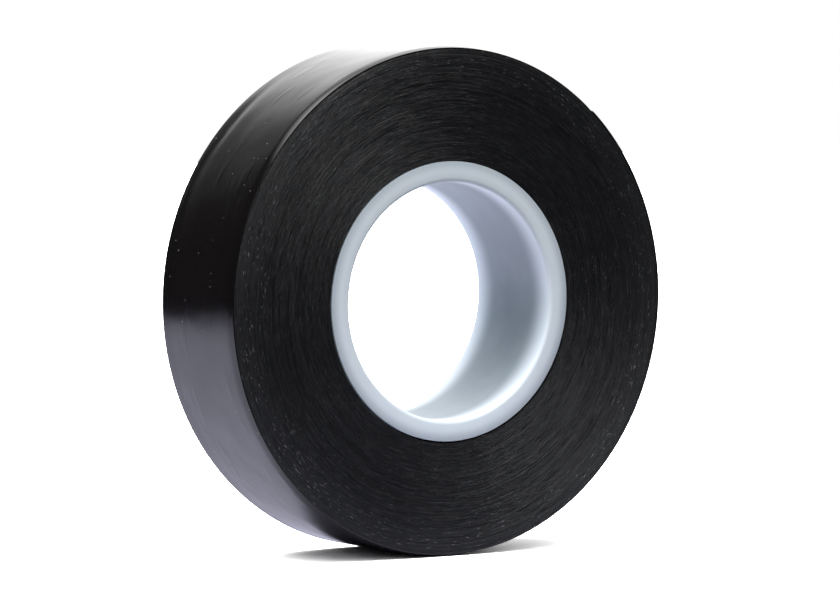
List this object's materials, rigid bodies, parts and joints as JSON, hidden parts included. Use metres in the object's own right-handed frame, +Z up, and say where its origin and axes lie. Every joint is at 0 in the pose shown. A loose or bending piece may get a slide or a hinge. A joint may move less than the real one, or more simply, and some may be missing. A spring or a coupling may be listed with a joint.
{
  "type": "electrical tape roll",
  "caption": "Roll of black PVC insulating tape wound on a white plastic core, with a free end that peels off in hinged steps.",
  "frame": {"origin": "middle of the core's bore, half way across the tape's width", "axes": "+Z up with the roll standing on its rim; +Y along the roll's axis, from the front face to the back face; +X to the right seen from the front"},
  "size_m": [0.0729, 0.019, 0.0729],
  "materials": {
    "core_plastic": "satin, slightly translucent white polyethylene",
    "pvc_film": "glossy soft black PVC film; its cut edges are matt",
    "adhesive": "tacky black rubber adhesive with a wet sheen"
  },
  "bodies": {
    "roll": {"core": "core_plastic", "wound_tape": "pvc_film"},
    "tail_1": {"tail_film_1": "pvc_film", "tail_adhesive_1": "adhesive"},
    "tail_2": {"tail_film_2": "pvc_film", "tail_adhesive_2": "adhesive"},
    "tail_3": {"tail_film_3": "pvc_film", "tail_adhesive_3": "adhesive"},
    "tail_4": {"tail_film_4": "pvc_film", "tail_adhesive_4": "adhesive"},
    "tail_5": {"tail_film_5": "pvc_film", "tail_adhesive_5": "adhesive"},
    "tail_6": {"tail_film_6": "pvc_film", "tail_adhesive_6": "adhesive"},
    "tail_7": {"tail_film_7": "pvc_film", "tail_adhesive_7": "adhesive"},
    "tail_8": {"tail_film_8": "pvc_film", "tail_adhesive_8": "adhesive"},
    "tail_9": {"tail_film_9": "pvc_film", "tail_adhesive_9": "adhesive"},
    "tail_10": {"tail_film_10": "pvc_film", "tail_adhesive_10": "adhesive"}
  },
  "joints": [
    {"name": "peel_1", "type": "hinge", "parent": "roll", "child": "tail_1", "pos_m": [0.03481, 0, -0.01094], "axis": [0, 1, 0], "range_deg": [0, 20]},
    {"name": "peel_2", "type": "hinge", "parent": "tail_1", "child": "tail_2", "pos_m": [0.03583, 0, -0.00693], "axis": [0, 1, 0], "range_deg": [0, 20]},
    {"name": "peel_3", "type": "hinge", "parent": "tail_2", "child": "tail_3", "pos_m": [0.03639, 0, -0.00283], "axis": [0, 1, 0], "range_deg": [0, 20]},
    {"name": "peel_4", "type": "hinge", "parent": "tail_3", "child": "tail_4", "pos_m": [0.03648, 0, 0.00131], "axis": [0, 1, 0], "range_deg": [0, 20]},
    {"name": "peel_5", "type": "hinge", "parent": "tail_4", "child": "tail_5", "pos_m": [0.0361, 0, 0.00543], "axis": [0, 1, 0], "range_deg": [0, 20]},
    {"name": "peel_6", "type": "hinge", "parent": "tail_5", "child": "tail_6", "pos_m": [0.03526, 0, 0.00948], "axis": [0, 1, 0], "range_deg": [0, 20]},
    {"name": "peel_7", "type": "hinge", "parent": "tail_6", "child": "tail_7", "pos_m": [0.03396, 0, 0.01341], "axis": [0, 1, 0], "range_deg": [0, 20]},
    {"name": "peel_8", "type": "hinge", "parent": "tail_7", "child": "tail_8", "pos_m": [0.03223, 0, 0.01717], "axis": [0, 1, 0], "range_deg": [0, 20]},
    {"name": "peel_9", "type": "hinge", "parent": "tail_8", "child": "tail_9", "pos_m": [0.03009, 0, 0.02071], "axis": [0, 1, 0], "range_deg": [0, 20]},
    {"name": "peel_10", "type": "hinge", "parent": "tail_9", "child": "tail_10", "pos_m": [0.02755, 0, 0.02398], "axis": [0, 1, 0], "range_deg": [0, 20]}
  ]
}
